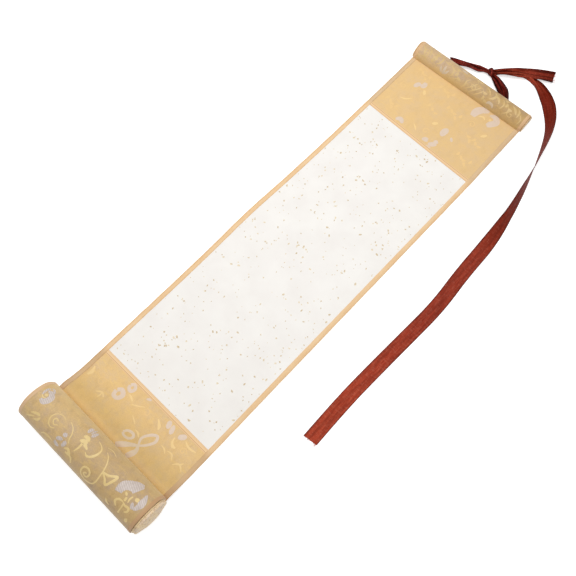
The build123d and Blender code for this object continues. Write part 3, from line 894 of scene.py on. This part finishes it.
def make_ribbon():
    """The loop, the knot and both tails."""
    knot = knot_band("ribbon_knot_band", heading=24.0, size=2.3, turns=1.3, start=-0.9, shift=(0.4, 0.0))
    tuck = knot_band("ribbon_knot_tuck", heading=-38.0, size=2.0, turns=0.8, start=0.2, shift=(-1.6, 0.6))
    declared(knot, "red_ribbon", "ribbon_knot")
    declared(tuck, "red_ribbon")
    loop, loop_points, loop_length = ribbon_strip(
        "ribbon_loop_strip", LOOP_ROUTE, RIBBON_SHADED, LOOP_WIDTHS, LOOP_TILTS
    )
    short, short_points, short_length = ribbon_strip(
        "ribbon_short_strip", SHORT_TAIL_ROUTE, RIBBON_FOLD_SHADED, SHORT_TAIL_WIDTHS, SHORT_TAIL_TILTS,
        pleats=1.0, phase=0.9, end_cut=3.0,
    )
    long, long_points, long_length = ribbon_strip(
        "ribbon_long_strip", LONG_TAIL_ROUTE, RIBBON, LONG_TAIL_WIDTHS, LONG_TAIL_TILTS,
        pleats=1.0, phase=0.0, end_cut=1.2,
    )
    short_fray = yarn_ends("ribbon_short_fray", short_points, count=26, seed=3)
    long_fray = yarn_ends("ribbon_long_fray", long_points, count=22, seed=4)
    declared(loop, "red_ribbon", "ribbon_loop")
    declared(short, "red_ribbon", "ribbon_short_tail")
    declared(long, "red_ribbon", "ribbon_long_tail")


make_ribbon()


# Gold flecks in the paper
FLECK_SEED = 20
FLECK_COUNT = 620
FLECK_FACES = (0.05, -0.03)


def paper_flecks():
    """Gold leaf flakes strewn over the paper."""
    chance = random.Random(FLECK_SEED)
    solid = Solid()
    for _ in range(FLECK_COUNT):
        x = chance.uniform(-BORDER_EDGE + 1, BORDER_EDGE - 1)
        y = chance.uniform(1, PAPER_LENGTH - 1)
        size = 0.4 + 0.62 * chance.random() ** 2.2
        corners = chance.choice((4, 5, 6))
        start = chance.uniform(0, math.tau)
        stretch = chance.uniform(1.0, 1.9)
        lean = chance.uniform(0, math.pi)
        rim = []
        for i in range(corners):
            angle = start + math.tau * i / corners
            reach = size * chance.uniform(0.65, 1.15)
            across, along = reach * stretch * math.cos(angle), reach * math.sin(angle)
            rim.append((x + across * math.cos(lean) - along * math.sin(lean),
                        y + across * math.sin(lean) + along * math.cos(lean)))
        for lift in FLECK_FACES:
            for spot in rim:
                solid.put(sheet_point(*spot, FACE + lift), spot)
        solid.band(2, range(corners))
    return declared(solid.made("gold_flecks", FLECKS), "flecked_paper")


# Woven figures. A stroke is its half widths from end to end and the points that it passes through:
# on the roll and the stave the place across and the length round it, on the panels X and Y.

def strokes(*rows):
    """Strokes from their half widths and the two numbers of each of their points in turn."""
    return [(widths, list(zip(spots[::2], spots[1::2]))) for widths, *spots in rows]


def smooth_line(points, count=7):
    """Points along a smooth line through the given ones."""
    line = []
    for i in range(len(points) - 1):
        start, end = points[i], points[i + 1]
        before, after = points[max(i - 1, 0)], points[min(i + 2, len(points) - 1)]
        for step in range(count):
            t = step / count
            line.append(tuple(
                0.5 * (2 * b + (c - a) * t + (2 * a - 5 * b + 4 * c - d) * t * t
                       + (3 * b - a - 3 * c + d) * t * t * t)
                for a, b, c, d in zip(before, start, end, after)))
    line.append(points[-1])
    return line


def width_at(widths, share):
    """Half width at a share of a stroke."""
    spot = share * (len(widths) - 1)
    index = min(int(spot), len(widths) - 2)
    return widths[index] + (widths[index + 1] - widths[index]) * eased(spot - index)


THREAD = (0.3, 0.6, 0.6, 0.3)
SHORT_THREAD = (0.3, 0.6, 0.3)
FINE_THREAD = (0.3, 0.5, 0.3)
BLADE = (0.3, 0.8, 0.4)
LONG_BLADE = (0.3, 0.8, 0.8, 0.3)
SPRAY_LEAF = 4.6
SPRAY_LEAF_WIDTHS = (0.15, 1.2, 1.08, 0.12)


def fan(root, inner, reaches, ribs):
    """Ribs of a fan-shaped petal, its reach given at each angle, and the angle counted from +X."""
    drawn = []
    first, last = reaches[0][0], reaches[-1][0]
    half_step = math.radians(last - first) / (ribs - 1) / 2
    for angle in stations(first, last, math.degrees(2 * half_step)):
        reach = between(reaches, angle)
        radii = [inner + (reach - inner) * share for share in (0, 0.25, 0.5, 0.75, 0.9)]
        spots = [polar(root, radius, angle) for radius in (inner, (inner + reach) / 2, reach)]
        drawn.append(([0.9 * half_step * radius for radius in radii] + [0.3], spots))
    # A thread follows the petal's rim
    return drawn + [(THREAD, [polar(root, reach - 0.8, angle) for angle, reach in reaches])]


def curl(centre, radius, start, sweep):
    """Thin tendril wound in from its open end."""
    shares = (0.0, 0.17, 0.33, 0.5, 0.67, 0.83, 1.0)
    spots = [polar(centre, radius * (1 - 0.8 * share), start + sweep * share) for share in shares]
    return (0.2, 0.4, 0.4, 0.55), spots


def spray(*spots):
    """Thin stem through the spots, X and Y in turn, with leaves to either side of it."""
    drawn = strokes(((0.15, 0.25, 0.15), *spots))
    line = smooth_line(drawn[0][1], 2)
    for i in range(1, len(line) - 1):
        (x0, y0), (x1, y1) = line[i - 1], line[i + 1]
        heading = math.degrees(math.atan2(y1 - y0, x1 - x0))
        side = 1 if i % 2 else -1
        middle = polar(line[i], SPRAY_LEAF / 2, heading + 28 * side)
        tip = polar(line[i], SPRAY_LEAF, heading + 46 * side)
        drawn.append((SPRAY_LEAF_WIDTHS, [line[i], middle, tip]))
    return drawn


# On the roll, lengths round it are counted from its side towards the stave
ROLL_SILVER = strokes(
    ((0.8, 2.1, 2.5, 2.4, 1.2), -57.6, 16.6, -55.2, 15.8, -51.9, 17.9, -51.5, 21.6, -53.6, 24.8,
     -56.6, 24.6),
    ((0.4, 0.9, 0.9, 0.4), -58.6, 21.4, -59, 18.4, -59, 15.4, -58, 13.4),
    ((0.4, 0.9, 0.9, 0.5), -58, 12, -56.2, 11.8, -54.2, 13.2, -53, 15.4),
    ((0.5, 1.5, 1.4, 0.6), -11.4, 9.6, -11.8, 12.6, -11.4, 16.2),
    ((0.4, 1.2, 1.5, 0.6), -6.2, 9.4, -6.6, 12.8, -6.9, 16.4),
    ((0.3, 0.7, 0.3), -9, 8.2, -9.1, 11.5, -9, 15),
    ((1.2, 2, 1.2), -22.3, 28.2, -21.6, 29.6, -20.9, 31),
    ((0.6, 1.7, 1.5, 0.7), -18.2, 32.4, -17.6, 35.2, -18.6, 37.8),
    ((0.5, 1.5, 1.5, 0.6), -20.6, 33.4, -23.4, 34.6, -25.6, 36.6),
    ((0.5, 1.5, 1.6, 0.6), -25.4, 38.4, -23.4, 40.2, -20.4, 40),
    ((0.4, 1.6, 2.5, 2.7, 1.8, 0.5), 54.9, 16.2, 56.6, 20.6, 57, 25.6, 55.4, 30.8),
    ((0.4, 1.4, 1.5, 0.6), 51.4, 27.4, 52.9, 29.4, 54.6, 31.2),
)
PETAL_REACHES = [(168, 10.6), (205, 11.9), (228, 11.8), (249, 12.8), (268, 15.0), (280, 16.0), (287, 14.6)]
ROLL_SILVER += fan((45.2, 27.6), 4.6, PETAL_REACHES, ribs=17)
ROLL_GOLD = strokes(
    ((0.7, 1.2, 0.9), -57, 20.3, -55.8, 19.7, -54.6, 19.3),
    (FINE_THREAD, -58.6, 21.4, -56.4, 22.6, -54.2, 21.6),
    ((0.3, 0.9, 1, 0.4), -54.6, 37, -50, 34.2, -46.6, 33.6),
    ((0.4, 0.9, 0.9, 0.4), -45.6, 34.6, -46.6, 37.6, -49.8, 39.8),
    (THREAD, -57, 42.4, -53.4, 39.6, -50.4, 37.2),
    ((0.3, 0.42, 0.45, 0.36, 0.26, 0.2, 0.15), -31.6, 32, -35.2, 33.7, -38.8, 31.4, -40, 27.4,
     -38.2, 23.4, -34.2, 21.2, -29.8, 21.8),
    ((0.3, 0.45, 0.3), -33.4, 26.2, -35.8, 26, -36.6, 28.4, -34.2, 30.4, -31.4, 28.8),
    ((0.25, 0.4, 0.45, 0.3), -26, 20.2, -21.4, 22.2, -18.4, 25.8, -17.2, 29.4, -15.2, 32.2),
    ((0.4, 1.4, 1.5, 0.5), -11.2, 20.2, -8.2, 19.2, -5.2, 20.4),
    ((0.5, 1.5, 1.6, 0.6), -10.8, 24.6, -7.6, 22.8, -4.8, 22.4),
    ((0.6, 1.3, 0.9, 0.3), -6.8, 23.4, -4, 24.6, -1.2, 25.6),
    ((0.9, 0.7, 0.4), -7.4, 25, -7.2, 29, -8.2, 33.2),
    ((0.2, 0.4, 0.6, 0.9, 0.8, 0.3), -0.4, 14.8, 3.2, 15.6, 6.2, 18, 6.7, 22, 5, 26.4, 1.8, 28.8,
     -1, 27.6),
    ((0.5, 1, 1.2, 0.5), -15.4, 37.2, -12.4, 35.5, -10, 38.2, -13.2, 39.2),
    ((0.7, 0.7, 0.5), -10.2, 38.6, -6.6, 39.4, -4.9, 43.6),
    ((0.5, 0.7, 0.7, 0.6, 0.5), 10.6, 38, 9, 38.8, 8.6, 40.4, 11, 41.2, 12.9, 39, 12.4, 35.8, 9.2, 34.2,
     6, 35.8, 5.4, 39.4, 7, 42.6, 11.4, 44.2, 16.2, 43, 19.4, 40, 20.2, 35.8, 19.7, 31, 19.2, 27.6),
    ((0.5, 0.4, 0.3, 0.2), 19.2, 27.6, 17.2, 22.4, 13.8, 18, 10.4, 15.8),
    ((0.7, 0.9, 0.9, 0.6), 19.6, 28, 24.6, 26.8, 30.1, 23, 29.4, 28.2, 27.3, 33.2, 24.2, 30.6, 20.2, 28.4),
    ((1.1, 1.6, 1.1), 45, 29.4, 45.9, 29.3, 46.8, 29.1),
    ((0.4, 0.9, 0.5), 42.2, 25.6, 43.6, 26.4, 44.8, 27),
    ((0.4, 0.6, 0.6, 0.3), 48.6, 24.6, 48.2, 27.4, 49, 30.2),
    ((0.8, 1.4, 1), 51.2, 24.8, 52.8, 24, 54.2, 23.7),
    ((0.4, 0.8, 0.8, 0.5), 45.6, 32, 42.2, 32.8, 40.6, 35.8, 43.4, 38.8),
    ((0.4, 0.8, 0.8, 0.4), 45.6, 32, 48.8, 33, 52.2, 32.4, 53.1, 35, 51.2, 37.2),
    ((0.6, 0.5, 0.7), 47.2, 33.2, 47.7, 37.6, 47.8, 42),
    ((0.3, 0.9, 0.4), 34, 40.4, 35.6, 42.8, 38.9, 43.8),
    ((0.2, 1.4, 0.8), 56.4, 39, 56.2, 41.2, 56.1, 43.2),
    (THREAD, -38.6, 45, -36.2, 41.8, -32.2, 40.8, -27, 41.2),
    ((0.2, 0.3, 0.2), 7.6, 12.6, 12.2, 11.2, 17.4, 13),
)
# On the stave, lengths round the wrap are counted from its near line
WRAP_SILVER = strokes(
    ((0.4, 1.2, 0.5), -34.4, 8.8, -33, 6, -31, 3.6),
    ((0.3, 1.2, 1.4, 0.5), -30, 11.4, -29.6, 7.2, -29.4, 3),
    ((0.4, 1.1, 0.5), -25.2, 9, -26.6, 6.2, -28, 3.8),
    ((0.5, 1.4, 0.6), -14.6, 17.8, -11.8, 18.4, -8.8, 17.6),
    ((0.5, 1.3, 1.3, 0.5), 22.6, 4.2, 25, 6.4, 28.6, 6, 30.4, 3.6),
)
WRAP_GOLD = strokes(
    ((0.3, 1, 0.4), -60.4, 15.4, -57, 13, -55.4, 9.2),
    ((0.3, 0.9, 0.3), -54, 17.8, -50.6, 14.6, -49.4, 10.4),
    ((0.3, 0.7, 0.3), -58, 6.2, -53.8, 6.8, -49.8, 4.6),
    ((0.4, 1.1, 0.4), -45, 16.2, -42.6, 12.4, -43.4, 8.6),
    (LONG_BLADE, -38.6, 18.8, -36.2, 14.6, -37, 10.4, -39.8, 7.4),
    (LONG_BLADE, -26, 14.8, -21.8, 12.8, -20.4, 8.6, -23, 5),
    (SHORT_THREAD, -33.4, 15.2, -29.8, 14, -26.6, 15.6),
    (SHORT_THREAD, -18.4, 4.2, -14.6, 7.2, -9.8, 7),
    ((0.3, 0.9, 0.6, 0.3), -6.8, 3.2, -4.6, 6.8, -5, 10.8, -2.4, 14.2),
    (THREAD, -2, 4.8, 2.6, 10, 6, 15.8),
    (THREAD, 2.2, 3.8, 6.6, 8.4, 10.6, 13.4),
    (THREAD, 7.4, 4, 11.2, 7.6, 14.2, 11.8),
    (BLADE, 14.8, 18.2, 18.8, 16, 21.6, 12.4),
    ((0.4, 1.2, 1.2, 0.4), 24.4, 18.6, 27, 15.2, 25.8, 11.6, 22.8, 9.4),
    ((0.4, 1.2, 1, 0.4), 27.2, 15.4, 31, 14, 33.4, 10.2),
    (THREAD, 34.6, 17, 37.8, 12.4, 36.6, 7.2),
    (SHORT_THREAD, 40.8, 5, 44.2, 8.2, 43.8, 12.6),
    ((0.4, 1.3, 0.5), 45.4, 17.4, 49.4, 15, 52.6, 11.2),
    ((0.3, 1, 0.4), 51, 18.6, 54.4, 14.8, 54.8, 9.4),
    (SHORT_THREAD, 56.8, 13.2, 59.4, 9, 58.4, 4.4),
)
WRAP_GOLD += spray(-46, 20, -43, 14, -47, 8) + spray(-22, 18, -17, 13, -13, 6)
WRAP_GOLD += spray(-4, 18, 2, 20, 8, 17) + spray(12, 14, 17, 9, 20, 4)
WRAP_GOLD += spray(34, 20, 40, 16, 46, 9)
WRAP_GOLD += [curl((-54, 11), 4.2, 40, 420), curl((4, 9), 3.6, 200, -400), curl((48, 8), 3.6, 90, 400)]
PANEL_SILVER = strokes(
    ((1.1, 1.1, 1.2, 1), -24.2, -7.4, -21.8, -4.9, -19, -7.6, -20.6, -11, -23.6, -10.2, -24.3, -7.8),
    ((1.3, 1.6, 1.4, 1.3), -29.4, -17.8, -26.6, -15.2, -22.8, -17.6, -24.4, -22.4, -28.6, -22.8,
     -29.8, -18.6),
    ((0.4, 0.9, 0.4), -6.2, -6.4, -4.4, -5.2, -2.2, -4.4),
    ((0.7, 1.7, 1.7, 0.7), 21.4, -4.8, 22.4, -7.8, 23.6, -11.2),
    ((0.6, 1.5, 1.6, 0.6), 26, -5.4, 27.4, -9.2, 28.4, -12.8),
    ((0.6, 1.8, 1.8, 0.7), 35.4, -10.4, 37.6, -7.4, 40.4, -5),
    ((0.7, 0.9, 1, 1, 0.9, 0.7), 17.2, -36.8, 14.4, -30.7, 17.8, -24, 22.6, -21, 24.6, -25.4, 21.4, -32,
     17.4, -36.6),
    ((0.7, 1.3, 1.8, 1.6), 17.2, -36.8, 11.1, -41.6, 3.4, -48.6),
    ((0.7, 1.3, 1.9, 1.6), 17.2, -36.8, 19.2, -42, 16.2, -49),
    ((0.8, 0.9, 1, 0.9, 0.8), 0, -37.6, 2.2, -34.2, 6.7, -33.1, 9.1, -35.1, 7.2, -38.4, 2.8, -39.3,
     0, -37.8),
    ((2, 3, 3.2, 2.6, 1.2), 20.8, 396, 21, 402.8, 24.4, 407.8, 30.6, 410.6),
    ((0.8, 2.2, 2.7, 2.6, 1.6), 33.4, 407.6, 38.8, 409.2, 42.4, 405.2, 39.6, 400, 37.6, 396.2),
    ((1.2, 1.9, 2, 1.2), -35.6, 395.4, -34.8, 391.4, -37.2, 388.4),
    ((1, 1.9, 1.8, 0.8), -38.6, 391, -40.6, 387.6, -41.6, 383.6),
    ((1.2, 2.5, 2.4, 1), 13.2, 368.2, 11.8, 363.2, 12.2, 358),
    ((1.2, 2, 1.2), 21.4, 360.6, 22.2, 361.4, 23, 362.2),
    ((0.8, 2, 1.6), 0.8, 342.8, 3.6, 344.6, 6, 345.6),
    ((1.2, 2, 1.4), 8.6, 342.2, 11.8, 345, 14.6, 347.8),
    ((0.6, 1.3, 0.6), 10.8, 348.4, 12.9, 349.8, 15.1, 349),
    ((0.5, 1, 0.5), 8, 340.4, 10.2, 339.8, 12.4, 341.4),
    ((0.9, 1.8, 1.8, 0.9), -31.6, 342, -27.8, 345.4, -24, 342.4),
)
PANEL_GOLD = strokes(
    ((0.6, 1.6, 0.8), -57.8, -17.3, -56.1, -21.8, -57.2, -26.2),
    ((0.3, 0.9, 0.5), -19.4, -13.4, -16.4, -14.2, -13.3, -15.7),
    (FINE_THREAD, -12.2, -17.9, -7.4, -15.4, -2.2, -11.8),
    ((0.4, 0.7, 0.7, 0.4), -41.1, -30.7, -36.7, -27.9, -32.8, -30.1),
    ((0.6, 0.6, 0.3), -36.7, -27.9, -36.2, -30.6, -36.9, -33.4),
    ((0.5, 1.3, 0.6), 12.8, -10.7, 17.2, -14, 18.9, -16.8),
    (BLADE, 5.6, -29.6, 9.4, -30.1, 12.2, -32.3),
    (FINE_THREAD, -4.4, -23.4, -1.2, -25, 2.2, -26.8),
    ((0.4, 0.8, 1.4, 0.6), 33.3, -11.8, 34.4, -15.6, 37, -17.8, 39.8, -17.4),
    ((0.3, 0.7, 0.4), 30, -23.4, 33.9, -24, 36.7, -26.2),
    (BLADE, 36.7, -23.4, 41.1, -22.7, 44.4, -26.2),
    ((0.3, 0.8, 0.9, 0.3), 42.2, -7.9, 47.8, -9.8, 54.4, -8.4),
    (LONG_BLADE, 47.2, -27.9, 51.7, -24, 56.7, -27.3),
    ((0.3, 0.7, 0.4), 53.4, -21, 52.4, -23, 51.7, -24.4),
    ((0.8, 1.6, 0.9), -31.3, 387.2, -29.8, 385.2, -28.1, 383),
    (BLADE, -34.4, 372, -38.9, 366.8, -44.2, 364.6),
    ((0.8, 1.6, 0.9), -2.6, 362.6, -0.4, 364.8, 1.4, 366.8),
    (BLADE, -15.4, 350.4, -12.2, 348.4, -9.6, 346),
    ((0.7, 1.5, 0.8), 40.8, 382.6, 42.8, 385.2, 44.6, 387.8),
    ((0.8, 1.5, 0.8), 35.6, 402.6, 36.7, 403.2, 37.8, 403),
    (LONG_BLADE, 25.8, 399.4, 29.4, 402, 32.8, 400.2),
)
PANEL_LEAVES = [
    *spray(-54, 400, -47, 404, -41, 400, -35, 403),
    *spray(-26, 397, -19, 402, -12, 399, -5, 403),
    *spray(-6, 383, 1, 388, 8, 384, 15, 388),
    *spray(-22, 373, -14, 377, -6, 371),
    *spray(27, 378, 34, 373, 40, 375, 47, 370),
    *spray(-57, 352, -50, 356, -45, 351, -38, 354),
    *spray(32, 350, 39, 354, 45, 350, 53, 355),
    curl((-44, -22), 4.4, 60, 400),
    curl((2, -14), 3.8, 180, -400),
    curl((46, -15), 3.6, 0, 380),
    curl((-50, 378), 4.6, 60, 400),
    curl((26, 388), 4.2, 180, -400),
    curl((-2, 352), 4, 0, 380),
]


FIGURE_LIFT = 0.05
FIGURE_CROWN = 0.05
FIGURE_DEPTH = 0.04
BROAD_STROKE = 0.8
BACK_REPEAT = 46.0
REPEATS = range(-2, math.ceil((STAVE_Y - ROLL_SIDE_RUN) / BACK_REPEAT) - 1)
BACK_ASIDE = 0.7
WRAP_FIGURES_RUN = LAST_RUN - 1.0
WRAP_REPEAT = 22.0
# Where figures are laid: a run, the way on from it, 1 or -1 if mirrored, and how far aside
ON_BACK = [(ROLL_SIDE_RUN + i * BACK_REPEAT, 1, -1 if i % 2 else 1, BACK_ASIDE) for i in REPEATS]
ON_WRAP = [(WRAP_FIGURES_RUN, -1, 1, 0.0), (WRAP_FIGURES_RUN - WRAP_REPEAT, -1, -1, 0.0)]
ON_PANELS = [(0.0, 1, 1, 0.0)]


def lay_stroke(solid, spots, widths, surface, outward):
    """One stroke as a thin closed strip with a low crown."""
    if min(run for _, run in spots) < FIRST_RUN + 2 or max(run for _, run in spots) > LAST_RUN - 1:
        return
    columns = 4 if max(widths) > BROAD_STROKE else 2
    for index, (x, run) in enumerate(spots):
        before, after = neighbours(spots, index)
        dx, dr = after[0] - before[0], after[1] - before[1]
        length = math.hypot(dx, dr) or 1.0
        half = width_at(widths, index / (len(spots) - 1))
        for lower in (False, True):
            for i in range(columns + 1):
                share = i / columns * 2 - 1
                across = share * half
                spot = (x - dr / length * across, run + dx / length * across)
                lift = -FIGURE_DEPTH if lower else FIGURE_LIFT + FIGURE_CROWN * (1 - share ** 2)
                solid.put(sheet_point(*spot, surface + outward * lift), spot)
    solid.band(len(spots), around(columns + 1))


def figures(name, drawn, places, material, slot="backing_brocade", wider=1.0):
    """Mesh of strokes in one thread, laid on the sheet's outer side or on its panels."""
    surface, outward = (BACK_FACE, -1) if slot == "backing_brocade" else (FACE, 1)
    solid = Solid()
    for run, way, flip, aside in places:
        for widths, points in drawn:
            spots = smooth_line([(x * flip + aside, run + along * way) for x, along in points])
            lay_stroke(solid, spots, [width * wider for width in widths], surface, outward)
    declared(solid.made(name, material, 60.0), slot)


# Sheet layers

def layer(node, slot, low, high, start, end, material, with_pieces=()):
    """Layer of the sheet between two heights and two runs, which stands for its node."""
    profile = flat_section(LAMINATE_EDGE, low, high, pitch=3.2)
    piece = declared(swept(node + "_layer", profile, runs_between(start, end), material), slot, node)


def edging(side, name):
    """Tape folded round one edge, its inner edges a little uneven."""
    rounding = 0.12
    outer = [(BACK_BORDER_EDGE, 0.0), (EDGE - rounding, 0.0), (EDGE, 0.1), (EDGE, SHEET_THICKNESS - 0.1),
             (EDGE - rounding, SHEET_THICKNESS), (BORDER_EDGE, SHEET_THICKNESS)]
    inner = [(BORDER_EDGE, FACE), (LAMINATE_EDGE, FACE), (LAMINATE_EDGE, TAPE), (BACK_BORDER_EDGE, TAPE)]
    profile = [(side * x, height) for x, height in outer + inner]
    # The tape's own width, laid flat: the back leg comes first
    fold = BACK_BORDER_WIDTH
    front = fold + BORDER_WIDTH
    cloth = [0, fold - 0.12, fold, fold + 0.6, fold + 0.7, front, front, fold + 0.7, fold, 0]
    runs = runs_between(FIRST_RUN, LAST_RUN)
    declared(swept(name + "_tape", profile, runs, TAPE_CLOTH, cloth, waver=0.16), "edging_tape", name)


def strip(name, start):
    """Narrow strip over a joint of paper and brocade."""
    profile = flat_section(BORDER_EDGE, FACE, SHEET_THICKNESS, pitch=3.0)
    cloth = [BACK_BORDER_WIDTH + 2.0] * len(profile)
    piece = swept(name + "_tape", profile, stations(start, start + STRIP_WIDTH, 0.5), STRIP_CLOTH, cloth)
    return declared(piece, "edging_tape", name)


def make_sheet():
    """Every layer of the sheet."""
    low_end, top_start = -STRIP_LAP, PAPER_LENGTH + STRIP_LAP
    layer("backing_brocade", "backing_brocade", BACK_FACE, BACKING, FIRST_RUN, LAST_RUN, BACK_BROCADE)
    layer("bottom_brocade_panel", "panel_brocade", BACKING, FACE, FIRST_RUN, low_end, FRONT_BROCADE)
    layer("top_brocade_panel", "panel_brocade", BACKING, FACE, top_start, LAST_RUN, FRONT_BROCADE)
    flecks = paper_flecks()
    strips = [strip("paper_bottom_strip", -STRIP_WIDTH), strip("paper_top_strip", PAPER_LENGTH)]
    layer("paper_panel", "flecked_paper", BACKING, FACE, low_end, top_start, PAPER, [flecks, *strips])
    edging(-1, "edging_left")
    edging(1, "edging_right")


make_sheet()
figures("silver_figures", ROLL_SILVER, ON_BACK, BACK_SILVER)
figures("gold_figures", ROLL_GOLD, ON_BACK, BACK_GOLD, wider=1.1)
figures("wrap_silver_figures", WRAP_SILVER, ON_WRAP, WRAP_SILVER_CLOTH)
figures("wrap_gold_figures", WRAP_GOLD, ON_WRAP, WRAP_GOLD_CLOTH)
figures("panel_leaf_figures", PANEL_LEAVES, ON_PANELS, FRONT_LEAF, "panel_brocade")
figures("panel_silver_figures", PANEL_SILVER, ON_PANELS, FRONT_SILVER, "panel_brocade", wider=1.25)
figures("panel_gold_figures", PANEL_GOLD, ON_PANELS, FRONT_GOLD, "panel_brocade")


# Ends of the roller and the stave
RAW_EDGE_SPOKES = 180
RAW_EDGE_SEED = 7


def raw_edge(side, name, node):
    """Frayed cut edge of the cloth on a roller's end, turned out over the ends of the roll's turns."""
    low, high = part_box(node)
    axis = ((low[1] + high[1]) / 2, (low[2] + high[2]) / 2)
    radius = (high[2] - low[2]) / 2 / MM
    # The outer turn has crept to the left, so the right edge reaches back to it
    back = EDGE - (DRIFT if side > 0 else 0) + 0.15
    knee = ROLL_RADIUS - TURN_STEP + 0.1
    chance = random.Random(RAW_EDGE_SEED)
    solid = Solid()
    for i in range(RAW_EDGE_SPOKES):
        angle = math.degrees(math.tau * i / RAW_EDGE_SPOKES)
        frayed = chance.uniform(0.0, 0.4)
        section = [
            (radius - 0.3, EDGE + 0.05), (knee, EDGE + 0.05), (knee + 0.35, back + frayed),
            (knee + 0.4, back + 0.2 + frayed), (knee, EDGE + 0.2), (radius - 0.3, EDGE + 0.25),
        ]
        for reach, x in section:
            point = Vector((ORIGIN_X + side * x * MM, *polar(axis, reach * MM, angle)))
            solid.put(point, (angle, reach))
    solid.band(RAW_EDGE_SPOKES, range(len(section)), capped=False, joined=True)
    declared(solid.made(name, RAW_EDGE), "pale_cloth")


raw_edge(1, "raw_edge_right", "roller_end_cover_right")
raw_edge(-1, "raw_edge_left", "roller_end_cover_left")

# Nodes of the model that stay get a finer material
for material, nodes in (
    (WOOD, ("bottom_roller", "top_stave")),
    (END_BROCADE, ("roller_end_cover_left", "roller_end_cover_right")),
    (PALE_CLOTH, ("stave_end_cover_left", "stave_end_cover_right")),
):
    for node in nodes:
        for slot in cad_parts[node].material_slots:
            slot.material = material


# Light

def area_light(name, spot, aim, size, power):
    """Soft square light at a place, turned to another."""
    data = bpy.data.lights.new(name, "AREA")
    data.size = size
    data.energy = power
    light = show(name, data)
    light.location = place(*spot)
    light.rotation_euler = (place(*aim) - light.location).to_track_quat("-Z", "Y").to_euler()


area_light("key", spot=(-200, 280, 700), aim=(0, 190, 0), size=0.6, power=3.2)
area_light("fill", spot=(420, 60, 760), aim=(20, 190, 0), size=0.9, power=1.2)

world = bpy.data.worlds.new("world")
sky = Nodes(world)
level = sky.ranged(sky.seen(), 0.0, 1.0, 0.46, 1.0)
sky.fill(sky.tree.nodes["Background"], {"Color": (1, 1, 1, 1), "Strength": level})
bpy.context.scene.world = world
bpy.context.scene.view_settings.view_transform = "Standard"
